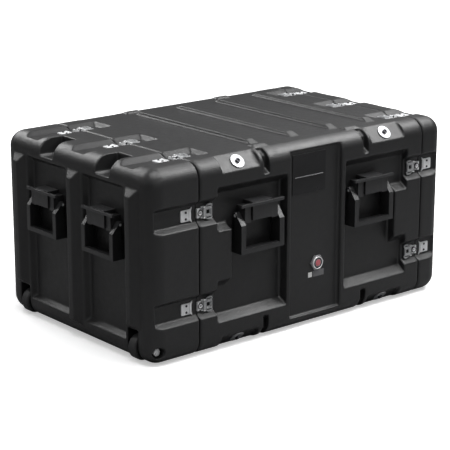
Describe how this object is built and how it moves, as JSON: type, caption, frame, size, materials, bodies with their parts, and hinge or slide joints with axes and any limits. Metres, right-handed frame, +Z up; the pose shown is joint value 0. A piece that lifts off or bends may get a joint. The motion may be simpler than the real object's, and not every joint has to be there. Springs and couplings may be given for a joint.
{
  "type": "equipment rack case",
  "caption": "Moulded transit case with two lift-off lids, twist latches, sprung handles, edge wheels and a shock-mounted 19-inch rack frame inside.",
  "frame": {"origin": "centre of the underside of the whole case, on the floor plane", "axes": "+X along the length, from the wheeled front lid towards the rear lid; +Y across the case; +Z up"},
  "size_m": [1.0816, 0.679, 0.518],
  "materials": {
    "shell_plastic": "fine moulded texture, black",
    "handle_plastic": "smooth moulded nylon, black",
    "zinc_steel": "bright zinc plate",
    "latch_grey": "satin stainless",
    "black_rubber": "matt",
    "wheel_rubber": "matt, slightly dusty",
    "hub_plastic": "moulded nylon",
    "dark_steel": "black oxide",
    "red_plastic": "moulded",
    "plate_black": "satin print",
    "label_white": "satin print",
    "frame_aluminium": "mill finish",
    "rail_painted": "black powder coat"
  },
  "bodies": {
    "case_body": {"center_shell": "shell_plastic", "latch_bases": "zinc_steel", "latch_pins": "zinc_steel", "body_rivets": "latch_grey", "side_handle_brackets": "handle_plastic", "side_handle_pins": "zinc_steel", "shock_washers": "zinc_steel", "shock_bolts": "dark_steel", "shock_mounts_upper": "black_rubber", "shock_mounts_lower": "black_rubber", "valve_body": "zinc_steel", "nameplate": "plate_black", "info_label": "label_white"},
    "valve_button": {"valve_button": "red_plastic"},
    "rack_frame": {"rack_side_frames": "frame_aluminium", "rack_cross_bars": "frame_aluminium", "rack_rails": "rail_painted", "rack_screws": "zinc_steel"},
    "front_lid": {"front_lid_shell": "shell_plastic", "front_gasket": "black_rubber", "front_strikers": "zinc_steel", "front_lid_rivets": "latch_grey", "front_handle_brackets": "handle_plastic", "front_handle_pins": "zinc_steel", "wheel_axles": "zinc_steel"},
    "rear_lid": {"rear_lid_shell": "shell_plastic", "rear_gasket": "black_rubber", "rear_strikers": "zinc_steel", "rear_lid_rivets": "latch_grey", "rear_handle_brackets": "handle_plastic", "rear_handle_pins": "zinc_steel"},
    "left_wheel": {"left_wheel_hub": "hub_plastic", "left_wheel_tyre": "wheel_rubber"},
    "right_wheel": {"right_wheel_hub": "hub_plastic", "right_wheel_tyre": "wheel_rubber"},
    "grip_near_front": {"grip_near_front": "handle_plastic"},
    "grip_far_front": {"grip_far_front": "handle_plastic"},
    "grip_near_rear": {"grip_near_rear": "handle_plastic"},
    "grip_far_rear": {"grip_far_rear": "handle_plastic"},
    "grip_front_near": {"grip_front_near": "handle_plastic"},
    "grip_rear_near": {"grip_rear_near": "handle_plastic"},
    "grip_front_far": {"grip_front_far": "handle_plastic"},
    "grip_rear_far": {"grip_rear_far": "handle_plastic"},
    "wing_front_near_low": {"wing_front_near_low": "latch_grey"},
    "wing_front_far_low": {"wing_front_far_low": "latch_grey"},
    "wing_front_near_high": {"wing_front_near_high": "latch_grey"},
    "wing_front_far_high": {"wing_front_far_high": "latch_grey"},
    "wing_front_top_near": {"wing_front_top_near": "latch_grey"},
    "wing_front_top_mid": {"wing_front_top_mid": "latch_grey"},
    "wing_front_top_far": {"wing_front_top_far": "latch_grey"},
    "wing_rear_near_low": {"wing_rear_near_low": "latch_grey"},
    "wing_rear_far_low": {"wing_rear_far_low": "latch_grey"},
    "wing_rear_near_high": {"wing_rear_near_high": "latch_grey"},
    "wing_rear_far_high": {"wing_rear_far_high": "latch_grey"},
    "wing_rear_top_near": {"wing_rear_top_near": "latch_grey"},
    "wing_rear_top_mid": {"wing_rear_top_mid": "latch_grey"},
    "wing_rear_top_far": {"wing_rear_top_far": "latch_grey"}
  },
  "joints": [
    {"name": "front_lid_lift", "type": "slide", "parent": "case_body", "child": "front_lid", "axis": [-1, 0, 0], "range_m": [0, 0.25]},
    {"name": "rear_lid_lift", "type": "slide", "parent": "case_body", "child": "rear_lid", "axis": [1, 0, 0], "range_m": [0, 0.15]},
    {"name": "rack_float", "type": "slide", "parent": "case_body", "child": "rack_frame", "axis": [0, 0, 1], "range_m": [-0.015, 0.015], "stiffness_N_per_m": 60000, "deforming": ["shock_mounts_upper", "shock_mounts_lower"]},
    {"name": "valve_press", "type": "slide", "parent": "case_body", "child": "valve_button", "axis": [0, 1, 0], "range_m": [0, 0.002], "stiffness_N_per_m": 900},
    {"name": "left_wheel_spin", "type": "hinge", "parent": "front_lid", "child": "left_wheel", "pos_m": [-0.493, -0.245, 0.036], "axis": [0, 1, 0], "continuous": true},
    {"name": "right_wheel_spin", "type": "hinge", "parent": "front_lid", "child": "right_wheel", "pos_m": [-0.493, 0.245, 0.036], "axis": [0, 1, 0], "continuous": true},
    {"name": "grip_near_front_swing", "type": "hinge", "parent": "case_body", "child": "grip_near_front", "pos_m": [-0.167, -0.3115, 0.348], "axis": [-1, 0, 0], "range_deg": [0, 78], "stiffness_Nm_per_rad": 0.12},
    {"name": "grip_far_front_swing", "type": "hinge", "parent": "case_body", "child": "grip_far_front", "pos_m": [-0.167, 0.3115, 0.348], "axis": [1, 0, 0], "range_deg": [0, 78], "stiffness_Nm_per_rad": 0.12},
    {"name": "grip_near_rear_swing", "type": "hinge", "parent": "case_body", "child": "grip_near_rear", "pos_m": [0.237, -0.3115, 0.348], "axis": [-1, 0, 0], "range_deg": [0, 78], "stiffness_Nm_per_rad": 0.12},
    {"name": "grip_far_rear_swing", "type": "hinge", "parent": "case_body", "child": "grip_far_rear", "pos_m": [0.237, 0.3115, 0.348], "axis": [1, 0, 0], "range_deg": [0, 78], "stiffness_Nm_per_rad": 0.12},
    {"name": "grip_front_near_swing", "type": "hinge", "parent": "front_lid", "child": "grip_front_near", "pos_m": [-0.51504, -0.126, 0.348], "axis": [0, 1, 0], "range_deg": [0, 78], "stiffness_Nm_per_rad": 0.12},
    {"name": "grip_rear_near_swing", "type": "hinge", "parent": "rear_lid", "child": "grip_rear_near", "pos_m": [0.51504, -0.126, 0.348], "axis": [0, -1, 0], "range_deg": [0, 78], "stiffness_Nm_per_rad": 0.12},
    {"name": "grip_front_far_swing", "type": "hinge", "parent": "front_lid", "child": "grip_front_far", "pos_m": [-0.51504, 0.126, 0.348], "axis": [0, 1, 0], "range_deg": [0, 78], "stiffness_Nm_per_rad": 0.12},
    {"name": "grip_rear_far_swing", "type": "hinge", "parent": "rear_lid", "child": "grip_rear_far", "pos_m": [0.51504, 0.126, 0.348], "axis": [0, -1, 0], "range_deg": [0, 78], "stiffness_Nm_per_rad": 0.12},
    {"name": "wing_front_near_low_fold", "type": "hinge", "parent": "case_body", "child": "wing_front_near_low", "pos_m": [-0.344, -0.3135, 0.131], "axis": [0, 0, -1], "range_deg": [0, 95], "stiffness_Nm_per_rad": 0.01},
    {"name": "wing_front_far_low_fold", "type": "hinge", "parent": "case_body", "child": "wing_front_far_low", "pos_m": [-0.344, 0.3135, 0.131], "axis": [0, 0, 1], "range_deg": [0, 95], "stiffness_Nm_per_rad": 0.01},
    {"name": "wing_front_near_high_fold", "type": "hinge", "parent": "case_body", "child": "wing_front_near_high", "pos_m": [-0.344, -0.3135, 0.376], "axis": [0, 0, -1], "range_deg": [0, 95], "stiffness_Nm_per_rad": 0.01},
    {"name": "wing_front_far_high_fold", "type": "hinge", "parent": "case_body", "child": "wing_front_far_high", "pos_m": [-0.344, 0.3135, 0.376], "axis": [0, 0, 1], "range_deg": [0, 95], "stiffness_Nm_per_rad": 0.01},
    {"name": "wing_front_top_near_fold", "type": "hinge", "parent": "case_body", "child": "wing_front_top_near", "pos_m": [-0.344, -0.211, 0.501], "axis": [0, -1, 0], "range_deg": [0, 95], "stiffness_Nm_per_rad": 0.01},
    {"name": "wing_front_top_mid_fold", "type": "hinge", "parent": "case_body", "child": "wing_front_top_mid", "pos_m": [-0.344, 0, 0.501], "axis": [0, -1, 0], "range_deg": [0, 95], "stiffness_Nm_per_rad": 0.01},
    {"name": "wing_front_top_far_fold", "type": "hinge", "parent": "case_body", "child": "wing_front_top_far", "pos_m": [-0.344, 0.211, 0.501], "axis": [0, -1, 0], "range_deg": [0, 95], "stiffness_Nm_per_rad": 0.01},
    {"name": "wing_rear_near_low_fold", "type": "hinge", "parent": "case_body", "child": "wing_rear_near_low", "pos_m": [0.414, -0.3135, 0.131], "axis": [0, 0, 1], "range_deg": [0, 95], "stiffness_Nm_per_rad": 0.01},
    {"name": "wing_rear_far_low_fold", "type": "hinge", "parent": "case_body", "child": "wing_rear_far_low", "pos_m": [0.414, 0.3135, 0.131], "axis": [0, 0, -1], "range_deg": [0, 95], "stiffness_Nm_per_rad": 0.01},
    {"name": "wing_rear_near_high_fold", "type": "hinge", "parent": "case_body", "child": "wing_rear_near_high", "pos_m": [0.414, -0.3135, 0.376], "axis": [0, 0, 1], "range_deg": [0, 95], "stiffness_Nm_per_rad": 0.01},
    {"name": "wing_rear_far_high_fold", "type": "hinge", "parent": "case_body", "child": "wing_rear_far_high", "pos_m": [0.414, 0.3135, 0.376], "axis": [0, 0, -1], "range_deg": [0, 95], "stiffness_Nm_per_rad": 0.01},
    {"name": "wing_rear_top_near_fold", "type": "hinge", "parent": "case_body", "child": "wing_rear_top_near", "pos_m": [0.414, -0.211, 0.501], "axis": [0, 1, 0], "range_deg": [0, 95], "stiffness_Nm_per_rad": 0.01},
    {"name": "wing_rear_top_mid_fold", "type": "hinge", "parent": "case_body", "child": "wing_rear_top_mid", "pos_m": [0.414, 0, 0.501], "axis": [0, 1, 0], "range_deg": [0, 95], "stiffness_Nm_per_rad": 0.01},
    {"name": "wing_rear_top_far_fold", "type": "hinge", "parent": "case_body", "child": "wing_rear_top_far", "pos_m": [0.414, 0.211, 0.501], "axis": [0, 1, 0], "range_deg": [0, 95], "stiffness_Nm_per_rad": 0.01}
  ]
}
